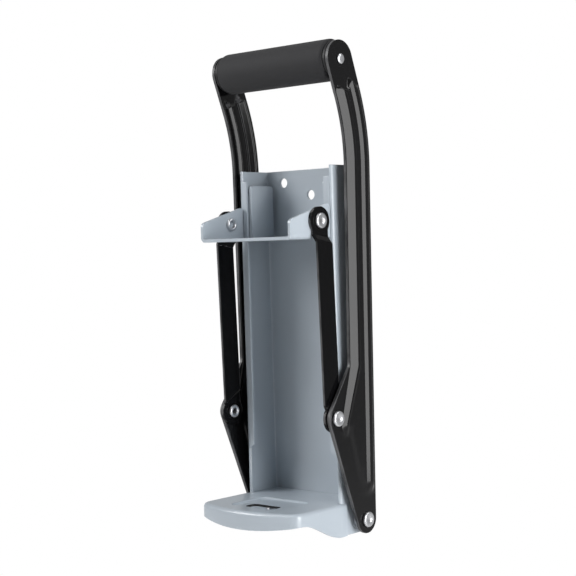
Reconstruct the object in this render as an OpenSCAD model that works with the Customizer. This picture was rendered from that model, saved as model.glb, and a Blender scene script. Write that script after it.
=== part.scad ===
// Wall-mounted lever can crusher for tall drink cans.
// Frame: X runs across the crusher, Y = 0 is the wall with the front towards -Y, and Z is up.
// Z = 0 is the face that the can stands on, and X = 0 is the middle of the crusher.

/* [Channel] */
// Width of the folded channel over its two side walls
channel_w = 80.5; // [76:0.5:96]
// Depth of the channel from the wall to the front of its lips
channel_d = 28.5; // [24:0.5:34]
// Height of the channel above the face that the can stands on
channel_h = 216; // [205:1:240]
// Depth of the channel below that face
channel_drop = 21; // [18:0.5:30]
// Thickness of the channel sheet
channel_t = 1.8; // [1.2:0.1:2.2]
// Outer radius of the channel's folds
channel_fold_r = 3; // [2.4:0.1:4]
// Width of each lip, measured from the outside of the side wall
lip_w = 6.6; // [5:0.2:8]
// Distance from the channel's top down to the top of the lips
lip_top_gap = 7.2; // [4:0.2:12]
// Height of the lips' lower ends
lip_foot_z = 33; // [28:1:60]
// Radius of the holes for the wall screws
screw_hole_r = 3.25; // [2:0.05:4]
// Distance between the two outer wall screws
screw_spacing = 48; // [40:1:54]
// Distance from the channel's top to the outer wall screws
screw_drop = 8; // [7:0.5:14]
// Distance that the middle wall screw lies below the outer ones
screw_stagger = 9; // [0:0.5:14]

/* [Base] */
// Thickness of the base and ram sheet
base_t = 1.6; // [1.2:0.1:2]
// Distance from the wall to the middle of the base's bowed front
base_reach = 80.5; // [76:0.5:96]
// Radius of the bowed front, seen from above
bow_r = 100; // [80:1:160]
// Radius of the base's two front corners, seen from above
base_corner_r = 9; // [6:0.5:14]
// Radius of the base's rolled top edge
base_edge_r = 2.6; // [1.8:0.1:4]
// Depth of the front skirt in the middle
skirt_mid = 11.8; // [10:0.2:16]
// Depth of the skirt at the front corners
skirt_corner = 8.2; // [6:0.2:9.5]
// Depth of the side flanges beside the channel
flange_drop = 21; // [18:0.5:30]
// Width of the bottle opener's slot
slot_w = 24.6; // [20:0.2:30]
// Length of the bottle opener's slot, front to back
slot_len = 10.4; // [8:0.2:14]
// Depth of the pressed panel round the slot
panel_drop = 1.1; // [0.6:0.1:2]

/* [Ram] */
// Distance from the outside of the channel in to the outside of the ram's ears
ram_inset = 1.35; // [1.1:0.05:2.2]
// Distance from the wall to the ram's front edge
ram_reach = 67; // [60:0.5:72]
// Height of the ram's pressing face at rest
ram_z = 169; // [162:1:175]
// Thickness of the ram sheet
ram_t = 2; // [1.6:0.1:2.4]
// Outer radius of the ram's folds
ram_fold_r = 3.2; // [2.6:0.1:4]
// Height of the ram's rear guide wings
wing_h = 37; // [30:1:44]
// Clearance between the ram and the channel that guides it
ram_gap = 0.45; // [0.3:0.05:0.7]

/* [Lever] */
// Distance from the wall to the lever's main pivot
pivot_y = 9.5; // [9.3:0.1:12]
// Distance of the main pivot below the face that the can stands on
pivot_drop = 12; // [11:0.5:16]
// Radius of the arm round the main pivot
pivot_eye_r = 9; // [8:0.2:9.2]
// Distance from the wall to the elbow where the link meets the arm
elbow_y = 37.5; // [34:0.5:42]
// Height of the elbow
elbow_z = 56; // [48:1:64]
// Radius of the arm's ear round the elbow
elbow_eye_r = 8; // [7:0.2:9]
// Width of the pressed arm
arm_w = 24; // [20:0.5:28]
// Thickness of the arm sheet
arm_t = 2; // [1.6:0.1:2.4]
// Height of the two pressed ribs along the arm
rib_h = 2.6; // [2:0.1:4]
// Space between the channel's side and the arm's inner face at the elbow
arm_gap = 5.45; // [5.45:0.05:10]
// Angle at which the arms spread upwards
lean = 0.7; // [0.3:0.05:1]
// Height where the arm's ear begins
ear_z = 88; // [80:1:100]
// Height where the arm starts to curve forwards
bend_z = 215; // [200:1:225]
// Radius of that curve, to the middle of the arm
bend_r = 130; // [110:1:170]
// Angle of the curve
bend_angle = 20; // [14:0.5:24]
// Length of the straight end above the curve, to the middle of the grip
top_run = 23.4; // [20:0.2:30]
// Radius of the arm's upper end round the grip rod
top_eye_r = 12; // [10:0.2:13]

/* [Links] */
// Width of the link bar
link_w = 14; // [12:0.5:16]
// Thickness of the link
link_t = 2; // [1.6:0.1:2.4]
// Radius of the link's two round ends
link_eye_r = 9; // [8:0.2:9.4]
// Distance from the arm's inner face in to the inner face of the link's bar
link_inset = 3.3; // [3.2:0.05:3.5]
// Outward step from the bar to the lower eye
link_step = 1; // [0.6:0.1:1]
// Distance from the wall to the pin that joins link and ram
ram_pin_y = 41; // [38.5:0.5:46]
// Height of that pin above the ram's pressing face
ram_pin_rise = 11.5; // [11:0.5:14]

/* [Grip] */
// Radius of the soft grip
grip_r = 13.3; // [12.6:0.1:16]
// Radius of the grip's hard core
core_r = 10; // [8:0.1:12]
// Radius of the rod through the grip
rod_r = 4; // [3.6:0.1:5]
// Radius of the rod's peened ends
rod_head_r = 3.2; // [3:0.1:3.4]
// Thickness of the two washers beside the grip
washer_t = 2.5; // [1.5:0.1:3]

/* [Rivets] */
// Radius of the rivets' shanks
rivet_r = 3; // [2.4:0.1:3.4]
// Radius of the rivets' heads
rivet_head_r = 5; // [4.6:0.1:6]
// Height of the rivets' heads
rivet_head_h = 1.9; // [1.2:0.1:2]
// Radius of the rolled rivet ends
rivet_tail_r = 4.3; // [4:0.1:4.6]
// Radial clearance of a rivet in a turning hole
turn_gap = 0.08; // [0.04:0.01:0.1]
// Clearance between flat faces that slide past each other
side_gap = 0.15; // [0.1:0.01:0.2]

/* [Hidden] */
$fn = 48;
// Facets round the arm's long curve and round the bowed skirt foot
curve_facets = 240;
foot_facets = 360;

// Overrun of every cut past the face that it leaves
over = 1;
// Gap between a rivet and the sheet that it fixes
fix_gap = 0.02;
// Gap between sheets that are fastened to each other
seat_gap = 0.1;

// Channel places
half_w = channel_w / 2;
wall_in = half_w - channel_t;
lip_in = half_w - lip_w;
lip_top_z = channel_h - lip_top_gap;
screw_z = channel_h - screw_drop;

// Base places: the side flanges lie outside the channel's walls
base_half = half_w + seat_gap + base_t;
bow_y = bow_r - base_reach;
corner_x = base_half - base_corner_r;
corner_y = bow_y - sqrt(pow(bow_r - base_corner_r, 2) - pow(corner_x, 2));
bow_half_angle = asin(corner_x / (bow_r - base_corner_r));
// Shares of the turn where the outline's corners lie
corner_steps = 7;
bow_steps = 16;
corner_shares = [for (i = [0:corner_steps]) i / corner_steps];
bow_shares = [for (i = [1:bow_steps - 1]) i / bow_steps];
roll_angles = [0, 30, 60, 90];
skirt_step = 0.1;
flange_overlap = 4.5;
flange_back_y = flange_overlap - channel_d;
tongue_gap = 0.4;
tongue_half = wall_in - tongue_gap;
// The tongue's rear corners are cut off to clear the inside of the channel's folds
tongue_corner = 1.6;
tongue_back_y = -channel_t - seat_gap;
rear_flange_h = 18;
rear_flange_half = 30;
base_rivet_r = 2;
base_rivet_head_r = 3.6;
base_rivet_head_h = 1.2;
base_rivet_x = 20;
base_rivet_z = -10;
// Slot and pressed panel, measured back from the front of the base
slot_front_gap = 18;
slot_corner_r = 3.4;
panel_half = 20;
panel_front_gap = 14;
panel_len = 31;
panel_corner_r = 4;
panel_pad = 1.4;
// Foot line of the side flange: shares of the run from corner to flange, and of the drop
foot_shares = [[0, 0], [0.12, 0.11], [0.3, 0.35], [0.5, 0.65], [0.68, 0.88], [0.8, 0.97], [0.9, 1]];

// Ram places
ram_half = half_w - ram_inset;
ear_back_y = -channel_d - ram_gap;
ear_front_h = 13;
ear_peak_h = 23;
ear_back_h = 20.5;
ear_peak_back = 6.5;
ear_nose_r = 2.4;
wing_half = lip_in - ram_gap;
wing_front_y = -channel_d + channel_t + ram_gap;
wing_back_gap = 3.2;
wing_back_y = -channel_t - wing_back_gap;
plate_back_gap = 0.7;
plate_back_y = -channel_t - plate_back_gap;
wing_corner = 5;
lug_half = wall_in - ram_gap;
pin_z = ram_z + ram_pin_rise;

// Link places, from the elbow up to the ram pin
arm_in = half_w + arm_gap;
link_dy = ram_pin_y - elbow_y;
link_dz = pin_z - elbow_z;
link_len = sqrt(pow(link_dy, 2) + pow(link_dz, 2));
link_lean = atan2(link_dy, link_dz);
link_in = arm_in - link_inset;
link_foot_in = link_in + link_step;
link_top_in = ram_half + side_gap;
joggle_start = 10;
joggle_len = 6;
top_joggle_len = 7;

// Arm places: the arm is drawn in the plane of its sheet, with Y and Z as in the object
arm_back_y = pivot_eye_r - pivot_y;
arm_front_y = arm_back_y - arm_w;
arm_mid_y = arm_back_y - arm_w / 2;
bend_y = arm_mid_y - bend_r;
grip_y = bend_y + bend_r * cos(bend_angle) - top_run * sin(bend_angle);
grip_z = bend_z + bend_r * sin(bend_angle) + top_run * cos(bend_angle);
rib_top_gap = 18;
rib_foot_z = 12;
rib_fade = 5;
top_in = arm_in + (grip_z - elbow_z) * tan(lean);
pivot_in = arm_in - (elbow_z + pivot_drop) * tan(lean);
// Outlines of the pressed section: shares of the arm's width and of the rib's height
groove_share = 0.45;
rear_rib_shares = [[0.04, 0], [0.2, 1], [0.33, 1], [0.44, groove_share], [0.5, groove_share]];
front_rib_shares = [[0.5, groove_share], [0.56, groove_share], [0.67, 1], [0.8, 1], [0.96, 0]];
rib_shares = concat(rear_rib_shares, front_rib_shares);
// The groove runs out as a web towards the pivot: shares of the way forward to the elbow
// and of the way up from the pivot to the ear
web_h = groove_share * rib_h;
web_shares = [[-0.12, 1], [0.45, 1], [0.76, 0.64], [0.72, 0.55], [0.25, 0.2], [-0.05, 0.19],
    [-0.16, 0.28]];
// The front rib turns off beside the elbow and shrinks to its foot
bead_foot_share = 0.5;
bead_foot_y_share = 0.4;
bead_foot_z_share = 0.64;
slice_h = 0.2;
// Straight edges run this share of a round end's radius from its middle, so that they cross it
touch_share = 0.99;

// Grip places
core_half = top_in - 2 * side_gap - washer_t;
core_fit = 0.2;
neck_step = 0.8;
neck_r = rod_head_r - neck_step;
rod_head_h = 1.3;

// Rivet places
tail_h = 1.6;
tail_bore_r = 1.9;
tail_bore_h = 2.6;
spacer_r = 6.5;
dimple_r = 2;
dimple_h = 0.4;

channel_colour = [0.64, 0.70, 0.74];
arm_colour = [0.09, 0.09, 0.1];
zinc_colour = [0.78, 0.79, 0.8];
grip_colour = [0.17, 0.17, 0.18];

// Outlines drawn in Y and Z and given a thickness along X
module along_x(x, thick) {
    translate([x, 0, 0]) rotate([90, 0, 90]) linear_extrude(thick) children();
}

// A round bar along X
module bar_x(x, y, z, r, len) {
    translate([x, y, z]) rotate([0, 90, 0]) cylinder(r = r, h = len);
}

module both_sides() {
    children();
    mirror([1, 0, 0]) children();
}

// A flat shape with four round corners
module round_rect(x0, y0, x1, y1, r) {
    translate([x0 + r, y0]) square([x1 - x0 - 2 * r, y1 - y0]);
    translate([x0, y0 + r]) square([x1 - x0, y1 - y0 - 2 * r]);
    for (x = [x0 + r, x1 - r], y = [y0 + r, y1 - r]) translate([x, y]) circle(r);
}

// Points where the line that touches two circles meets them, on the side that a turn gives
function unit_to(a, b) = (b - a) / norm(b - a);
function touch_dir(a, ra, b, rb, side) =
    let (u = unit_to(a, b), s = (ra - rb) / norm(b - a), c = sqrt(1 - s * s))
    [s * u[0] - side * c * u[1], s * u[1] + side * c * u[0]];

module back_channel() {
    color(channel_colour) difference() {
        translate([0, 0, -channel_drop]) linear_extrude(channel_drop + channel_h) difference() {
            round_rect(-half_w, -channel_d, half_w, 0, channel_fold_r);
            round_rect(-wall_in, -channel_d + channel_t, wall_in, -channel_t,
                channel_fold_r - channel_t);
            translate([-lip_in, -channel_d - over]) square([2 * lip_in, channel_d / 2]);
        }
        lip_cuts();
        for (x = [-screw_spacing / 2, screw_spacing / 2]) screw_hole(x, screw_z);
        screw_hole(0, screw_z - screw_stagger);
        for (x = [-base_rivet_x, base_rivet_x])
            translate([x, over, base_rivet_z]) rotate([90, 0, 0])
                cylinder(r = base_rivet_r + fix_gap, h = channel_t + 2 * over);
        both_sides() bar_x(wall_in - over, -pivot_y, -pivot_drop,
            rivet_r + fix_gap, channel_t + 2 * over);
    }
}

// The lips stop short of the channel's two ends, and their feet slope
module lip_cuts() {
    cut_d = channel_fold_r + over;
    both_sides() translate([0, -channel_d + cut_d - over, 0]) rotate([90, 0, 0])
        linear_extrude(cut_d) {
            translate([0, lip_top_z]) square([wall_in, lip_top_gap + over]);
            polygon([[0, -channel_drop - over], [wall_in, -channel_drop - over],
                [wall_in, lip_foot_z - lip_w / 2], [lip_in, lip_foot_z], [0, lip_foot_z]]);
        }
}

module screw_hole(x, z) {
    translate([x, over, z]) rotate([90, 0, 0])
        cylinder(r = screw_hole_r, h = channel_t + 2 * over);
}

function arc_points(centre, r, from, to, steps) = [for (i = [0:len(steps) - 1])
    let (a = from + (to - from) * steps[i]) centre + r * [cos(a), sin(a)]];

// Outline of the base from above, drawn smaller by an inset
function base_plan(inset, back_y) = concat([[base_half - inset, back_y]],
    arc_points([corner_x, corner_y], base_corner_r - inset, 0, bow_half_angle - 90, corner_shares),
    arc_points([0, bow_y], bow_r - inset, bow_half_angle - 90, -bow_half_angle - 90, bow_shares),
    arc_points([-corner_x, corner_y], base_corner_r - inset, -bow_half_angle - 90, -180,
        corner_shares),
    [[inset - base_half, back_y]]);

// A full block of the base with its top edge rolled over
module base_block(inset, back_y) {
    roll_r = base_edge_r - inset;
    translate([0, 0, -flange_drop - inset]) hull() for (a = roll_angles)
        linear_extrude(flange_drop - roll_r * (1 - sin(a)))
            polygon(base_plan(inset + roll_r * (1 - cos(a)), back_y));
}

module base_tray() {
    panel_y = panel_front_gap - base_reach;
    slot_y = slot_front_gap - base_reach;
    color(channel_colour) difference() {
        union() {
            intersection() {
                difference() {
                    base_block(0, flange_back_y);
                    base_block(base_t, flange_back_y + over);
                }
                skirt_foot();
            }
            translate([0, 0, -base_t]) linear_extrude(base_t) tongue_outline();
            translate([-rear_flange_half, tongue_back_y - base_t, -rear_flange_h])
                cube([2 * rear_flange_half, base_t, rear_flange_h]);
            translate([0, 0, -panel_drop - base_t]) linear_extrude(panel_drop + base_t / 2)
                round_rect(-panel_half - panel_pad, panel_y - panel_pad,
                    panel_half + panel_pad, panel_y + panel_len + panel_pad,
                    panel_corner_r + panel_pad);
        }
        translate([0, 0, -panel_drop]) linear_extrude(panel_drop + over)
            round_rect(-panel_half, panel_y, panel_half, panel_y + panel_len, panel_corner_r);
        translate([0, 0, -2 * base_t - panel_drop]) linear_extrude(2 * base_t + panel_drop)
            round_rect(-slot_w / 2, slot_y, slot_w / 2, slot_y + slot_len, slot_corner_r);
        both_sides() translate([tongue_half, -channel_d - seat_gap, -flange_drop - over])
            cube([half_w + seat_gap - tongue_half, channel_d, flange_drop + 2 * over]);
        for (x = [-base_rivet_x, base_rivet_x])
            translate([x, tongue_back_y + over, base_rivet_z]) rotate([90, 0, 0])
                cylinder(r = base_rivet_r + fix_gap, h = base_t + 2 * over);
    }
}

// The flat tongue that runs back between the channel's walls
module tongue_outline() {
    front_y = flange_back_y - base_t;
    side_y = tongue_back_y - tongue_corner;
    back_x = tongue_half - tongue_corner;
    polygon([[tongue_half, front_y], [tongue_half, side_y], [back_x, tongue_back_y],
        [-back_x, tongue_back_y], [-tongue_half, side_y], [-tongue_half, front_y]]);
}

// Room above the skirt's lower edge: bowed along the front, falling back along the sides
module skirt_foot() {
    sag = skirt_mid - skirt_corner - skirt_step;
    foot_r = (pow(base_half, 2) + pow(sag, 2)) / (2 * sag);
    run = flange_back_y - corner_y;
    fall = flange_drop - skirt_corner;
    translate([0, corner_y, foot_r - skirt_mid]) rotate([90, 0, 0])
        cylinder(r = foot_r, h = base_reach + corner_y + over, $fn = foot_facets);
    along_x(-base_half - over, 2 * (base_half + over))
        polygon(concat([[corner_y - over, over], [corner_y - over, -skirt_corner]],
            [for (p = foot_shares) [corner_y + p[0] * run, -skirt_corner - p[1] * fall]],
            [[flange_back_y + over, -flange_drop], [flange_back_y + over, over]]));
}

module base_rivets() {
    color(zinc_colour) for (x = [-base_rivet_x, base_rivet_x])
        translate([x, 0, base_rivet_z]) rotate([90, 0, 0]) {
            cylinder(r = base_rivet_r,
                h = channel_t + seat_gap + base_t + fix_gap + base_rivet_head_h / 2);
            translate([0, 0, channel_t + seat_gap + base_t + fix_gap])
                cylinder(r1 = base_rivet_head_r, r2 = base_rivet_r, h = base_rivet_head_h);
        }
}

// A sheet folded up at both sides, running along Y
module folded_sheet(half, back_y, front_y, h) {
    translate([0, back_y, ram_z]) rotate([90, 0, 0]) linear_extrude(back_y - front_y)
        difference() {
            round_rect(-half, 0, half, h + 2 * ram_fold_r, ram_fold_r);
            round_rect(-half + ram_t, ram_t, half - ram_t, h + 3 * ram_fold_r, ram_fold_r - ram_t);
            translate([-half - over, h]) square([2 * (half + over), 3 * ram_fold_r]);
        }
}

module ram() {
    color(channel_colour) difference() {
        union() {
            intersection() {
                folded_sheet(ram_half, ear_back_y, -ram_reach, ear_peak_h);
                along_x(-ram_half - over, 2 * (ram_half + over)) ear_outline();
            }
            intersection() {
                folded_sheet(wing_half, wing_back_y, wing_front_y, wing_h);
                along_x(-wing_half - over, 2 * (wing_half + over)) wing_outline();
            }
            translate([-wing_half, ear_back_y - over, ram_z])
                cube([2 * wing_half, wing_front_y - ear_back_y + 2 * over, ram_t]);
            translate([-wing_half + ram_fold_r, wing_back_y - over, ram_z])
                cube([2 * (wing_half - ram_fold_r), plate_back_y - wing_back_y + over, ram_t]);
            both_sides() translate([wing_half - ram_t, wing_front_y, ram_z + ram_fold_r])
                cube([lug_half - wing_half + ram_t, ram_t, wing_h - ram_fold_r - wing_corner]);
        }
        both_sides() bar_x(ram_half - ram_t - over, -ram_pin_y, pin_z,
            rivet_r + fix_gap, ram_t + 2 * over);
    }
}

// Side view of the ram's front: round nose, rising top edge and a peak in front of the channel
module ear_outline() {
    nose_y = -ram_reach + ear_nose_r;
    translate([nose_y, ram_z + ear_nose_r]) circle(ear_nose_r);
    translate([nose_y, ram_z + ear_front_h - ear_nose_r]) circle(ear_nose_r);
    translate([-ram_reach, ram_z + ear_nose_r])
        square([2 * ear_nose_r, ear_front_h - 2 * ear_nose_r]);
    polygon([[nose_y, ram_z], [nose_y, ram_z + ear_front_h],
        [ear_back_y - ear_peak_back, ram_z + ear_peak_h],
        [ear_back_y - ear_nose_r, ram_z + ear_peak_h - ear_nose_r / 2],
        [ear_back_y, ram_z + ear_back_h], [ear_back_y, ram_z]]);
}

module wing_outline() {
    polygon([[wing_front_y, ram_z], [wing_front_y, ram_z + wing_h - wing_corner],
        [wing_front_y + wing_corner, ram_z + wing_h], [wing_back_y, ram_z + wing_h],
        [wing_back_y, ram_z]]);
}

// Rolled inner ends of the two rivets that join the links to the ram
module ram_rivet_tails() {
    color(zinc_colour) both_sides() difference() {
        union() {
            bar_x(ram_half - ram_t - tail_h, -ram_pin_y, pin_z, rivet_r, ram_t + tail_h);
            bar_x(ram_half - ram_t - fix_gap - tail_h, -ram_pin_y, pin_z, rivet_tail_r, tail_h);
        }
        bar_x(ram_half - ram_t - fix_gap - tail_h - over, -ram_pin_y, pin_z,
            tail_bore_r, tail_bore_h);
    }
}

// The link is the meeting of its outline and of its stepped side view
module link() {
    bar_end = link_len - joggle_start;
    steps = [[link_foot_in, -link_eye_r - over], [link_foot_in, joggle_start],
        [link_in, joggle_start + joggle_len], [link_in, bar_end - top_joggle_len],
        [link_top_in, bar_end], [link_top_in, link_len + link_eye_r + over]];
    outer = [for (i = [len(steps) - 1:-1:0]) [steps[i][0] + link_t, steps[i][1]]];
    translate([0, -elbow_y, elbow_z]) rotate([link_lean, 0, 0]) difference() {
        intersection() {
            along_x(0, arm_in) {
                circle(link_eye_r);
                translate([0, link_len]) circle(link_eye_r);
                translate([-link_w / 2, 0]) square([link_w, link_len]);
            }
            translate([0, link_eye_r + over, 0]) rotate([90, 0, 0])
                linear_extrude(2 * (link_eye_r + over)) polygon(concat(steps, outer));
        }
        bar_x(link_foot_in - over, 0, 0, rivet_r + turn_gap, link_t + 2 * over);
        bar_x(link_top_in - over, 0, link_len, rivet_r + fix_gap, link_t + 2 * over);
    }
}

module link_right() { color(arm_colour) link(); }
module link_left() { color(arm_colour) mirror([1, 0, 0]) link(); }

// A rivet head with a shallow dimple, standing on a face at x
module rivet_head(x, y, z) {
    difference() {
        union() {
            bar_x(x, y, z, rivet_head_r, rivet_head_h / 2);
            translate([x + rivet_head_h / 2, y, z]) rotate([0, 90, 0])
                cylinder(r1 = rivet_head_r, r2 = rivet_head_r - rivet_head_h / 2,
                    h = rivet_head_h / 2);
        }
        bar_x(x + rivet_head_h - dimple_h, y, z, dimple_r, dimple_h + over);
    }
}

// Head and shank that turn with the link; the shank stops at the ram's ear
module ram_rivet() {
    face = link_top_in + link_t + fix_gap;
    bar_x(link_top_in, -ram_pin_y, pin_z, rivet_r, link_t + fix_gap + rivet_head_h / 2);
    rivet_head(face, -ram_pin_y, pin_z);
}

module ram_rivet_right() { color(zinc_colour) ram_rivet(); }
module ram_rivet_left() { color(zinc_colour) mirror([1, 0, 0]) ram_rivet(); }

// A whole rivet through a stack of sheets from x_in to x_out
module through_rivet(x_in, x_out, y, z) {
    difference() {
        union() {
            bar_x(x_in - tail_h / 2, y, z, rivet_r, x_out - x_in + (tail_h + rivet_head_h) / 2);
            bar_x(x_in - tail_h, y, z, rivet_tail_r, tail_h);
            rivet_head(x_out, y, z);
        }
        bar_x(x_in - tail_h - over, y, z, tail_bore_r, tail_bore_h);
    }
}

module elbow_rivet() {
    through_rivet(link_foot_in - side_gap, arm_in + arm_t + side_gap, -elbow_y, elbow_z);
}

module elbow_rivet_right() { color(zinc_colour) elbow_rivet(); }
module elbow_rivet_left() { color(zinc_colour) mirror([1, 0, 0]) elbow_rivet(); }

module pivot_rivet() {
    through_rivet(wall_in - fix_gap, pivot_in + arm_t + side_gap, -pivot_y, -pivot_drop);
}

module pivot_rivet_right() { color(zinc_colour) pivot_rivet(); }
module pivot_rivet_left() { color(zinc_colour) mirror([1, 0, 0]) pivot_rivet(); }

module pivot_spacer() {
    difference() {
        bar_x(half_w, -pivot_y, -pivot_drop, spacer_r, pivot_in - half_w - side_gap);
        bar_x(half_w - over, -pivot_y, -pivot_drop, rivet_r + fix_gap, pivot_in - half_w + over);
    }
}

module pivot_spacer_right() { color(zinc_colour) pivot_spacer(); }
module pivot_spacer_left() { color(zinc_colour) mirror([1, 0, 0]) pivot_spacer(); }

// A pressed section as heights over the sheet, closed at a base level
function rib_points(shares, base) = concat([[base, -shares[0][0] * arm_w]],
    [for (p = shares) [p[1] * rib_h, -p[0] * arm_w]],
    [[base, -shares[len(shares) - 1][0] * arm_w]]);

// A straight run of ribs that fade out towards their free end
module faded_run(shares, base, len) {
    intersection() {
        linear_extrude(len) polygon(rib_points(shares, base));
        translate([0, over, 0]) rotate([90, 0, 0]) linear_extrude(arm_w + 2 * over)
            polygon([[base, 0], [rib_h, 0], [rib_h, len - rib_fade], [0, len], [base, len]]);
    }
}

// Ribs and groove above the ear: straight, round the curve and straight again; below it the
// rear rib runs on, the front rib turns down to the elbow and the web lies between them
module pressed_forms(base, inset) {
    reach = elbow_y - pivot_y;
    rise = ear_z + pivot_drop;
    translate([0, arm_back_y, ear_z]) linear_extrude(bend_z - ear_z)
        polygon(rib_points(rib_shares, base));
    translate([0, bend_y, bend_z]) rotate([90, 0, 90]) rotate_extrude(angle = bend_angle, $fn = curve_facets)
        polygon([for (p = rib_points(rib_shares, base)) [bend_r + arm_w / 2 + p[1], p[0]]]);
    translate([0, bend_y, bend_z]) rotate([bend_angle, 0, 0])
        translate([0, bend_r + arm_w / 2, 0])
            faded_run(rib_shares, base, top_run - rib_top_gap + rib_fade / 2 - inset);
    translate([0, arm_back_y, ear_z]) mirror([0, 0, 1])
        faded_run(rear_rib_shares, base, ear_z - rib_foot_z - inset);
    hull() {
        translate([0, arm_back_y, ear_z - slice_h]) linear_extrude(slice_h)
            polygon(rib_points(front_rib_shares, base));
        translate([0, -pivot_y - bead_foot_y_share * reach, bead_foot_z_share * rise - pivot_drop])
            linear_extrude(slice_h) scale(bead_foot_share)
                polygon(rib_points(front_rib_shares, base));
    }
    along_x(base, web_h - base)
        polygon([for (p = web_shares) [-pivot_y - p[0] * reach, p[1] * rise - pivot_drop]]);
}

// Flat outline of the arm above its ear
module upper_outline() {
    translate([arm_front_y, ear_z]) square([arm_w, bend_z - ear_z]);
    translate([bend_y, bend_z]) {
        intersection() {
            difference() {
                circle(bend_r + arm_w / 2, $fn = curve_facets);
                circle(bend_r - arm_w / 2, $fn = curve_facets);
            }
            polygon([[0, 0], [2 * bend_r, 0],
                [2 * bend_r * cos(bend_angle), 2 * bend_r * sin(bend_angle)]]);
        }
        rotate(bend_angle) {
            translate([bend_r - top_eye_r, -over]) square([2 * top_eye_r, top_run + over]);
            translate([bend_r, top_run]) circle(top_eye_r);
        }
    }
}

// Flat outline of the arm's lower end: the pivot eye, the ear and the foot of the arm
module lower_outline() {
    pivot = [-pivot_y, -pivot_drop];
    elbow = [-elbow_y, elbow_z];
    root = [arm_front_y, ear_z];
    pivot_r = touch_share * pivot_eye_r;
    elbow_r = touch_share * elbow_eye_r;
    low_dir = touch_dir(pivot, pivot_r, elbow, elbow_r, 1);
    top_dir = touch_dir(elbow, elbow_r, root, 0, 1);
    translate(pivot) circle(pivot_eye_r);
    translate(elbow) circle(elbow_eye_r);
    polygon([root, elbow + elbow_r * top_dir, elbow, elbow + elbow_r * low_dir,
        pivot + pivot_r * low_dir, pivot, [arm_back_y, -pivot_drop], [arm_back_y, ear_z]]);
}

module arm() {
    difference() {
        translate([arm_in, 0, elbow_z]) rotate([0, lean, 0]) translate([0, 0, -elbow_z])
            difference() {
                union() {
                    along_x(0, arm_t) {
                        lower_outline();
                        upper_outline();
                    }
                    translate([arm_t, 0, 0]) pressed_forms(-arm_t / 2, 0);
                }
                pressed_forms(-over, arm_t / 2);
            }
        bar_x(pivot_in - over, -pivot_y, -pivot_drop, rivet_r + turn_gap, arm_t + 2 * over);
        bar_x(arm_in - over, -elbow_y, elbow_z, rivet_r + fix_gap, arm_t + 2 * over);
        bar_x(top_in - over, grip_y, grip_z, neck_r + fix_gap, arm_t + 2 * over);
    }
}

module lever_arm_right() { color(arm_colour) arm(); }
module lever_arm_left() { color(arm_colour) mirror([1, 0, 0]) arm(); }

// A ring along X, centred on the middle plane and on the grip's line
module grip_ring(half, r, bore) {
    difference() {
        bar_x(-half, grip_y, grip_z, r, 2 * half);
        bar_x(-half - over, grip_y, grip_z, bore, 2 * (half + over));
    }
}

module grip_sleeve() {
    color(grip_colour) grip_ring(core_half, grip_r, core_r + fix_gap);
}

module grip_core() {
    color(grip_colour) grip_ring(core_half, core_r, rod_r + core_fit);
}

module grip_washer() {
    difference() {
        bar_x(core_half + fix_gap, grip_y, grip_z, top_eye_r, washer_t - fix_gap);
        bar_x(core_half - over, grip_y, grip_z, rod_r + core_fit, washer_t + 2 * over);
    }
}

module grip_washer_right() { color(arm_colour) grip_washer(); }
module grip_washer_left() { color(arm_colour) mirror([1, 0, 0]) grip_washer(); }

// Rod through the grip, with a neck in each arm and a peened end outside it
module cross_rod() {
    shoulder = top_in - side_gap;
    color(zinc_colour) {
        bar_x(-shoulder, grip_y, grip_z, rod_r, 2 * shoulder);
        both_sides() {
            bar_x(shoulder - over, grip_y, grip_z, neck_r, arm_t + 2 * side_gap + 2 * over);
            bar_x(shoulder + arm_t + 2 * side_gap, grip_y, grip_z, rod_head_r, rod_head_h);
        }
    }
}

back_channel();
base_tray();
base_rivets();
ram();
ram_rivet_tails();
link_left();
link_right();
ram_rivet_left();
ram_rivet_right();
lever_arm_left();
lever_arm_right();
elbow_rivet_left();
elbow_rivet_right();
pivot_rivet_left();
pivot_rivet_right();
pivot_spacer_left();
pivot_spacer_right();
grip_sleeve();
grip_core();
cross_rod();
grip_washer_left();
grip_washer_right();
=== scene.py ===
"""Looks of a wall-mounted lever can crusher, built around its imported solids.

Lengths are in metres: X to the right, -Y to the front, Z up from where the can stands.
"""
import math
from contextlib import contextmanager

import bmesh
import bpy
from mathutils import Matrix, Vector


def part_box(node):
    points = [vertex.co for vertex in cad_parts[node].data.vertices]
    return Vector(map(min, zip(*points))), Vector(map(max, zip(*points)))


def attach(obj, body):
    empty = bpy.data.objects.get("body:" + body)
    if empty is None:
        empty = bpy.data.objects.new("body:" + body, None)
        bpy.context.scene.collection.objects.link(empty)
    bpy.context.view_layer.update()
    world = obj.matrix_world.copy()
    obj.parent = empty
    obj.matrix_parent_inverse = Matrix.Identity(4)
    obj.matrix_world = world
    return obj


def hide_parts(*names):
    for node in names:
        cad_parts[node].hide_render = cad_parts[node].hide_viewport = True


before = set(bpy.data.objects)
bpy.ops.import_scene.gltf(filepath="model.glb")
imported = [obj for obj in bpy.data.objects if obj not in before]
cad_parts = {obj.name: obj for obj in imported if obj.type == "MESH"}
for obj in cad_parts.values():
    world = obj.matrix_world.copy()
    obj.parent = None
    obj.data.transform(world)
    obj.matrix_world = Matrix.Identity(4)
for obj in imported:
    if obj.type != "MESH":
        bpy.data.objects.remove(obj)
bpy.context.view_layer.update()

MM = 0.001
TINY = 0.05 * MM  # slack when parts of a mesh are picked by place

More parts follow.
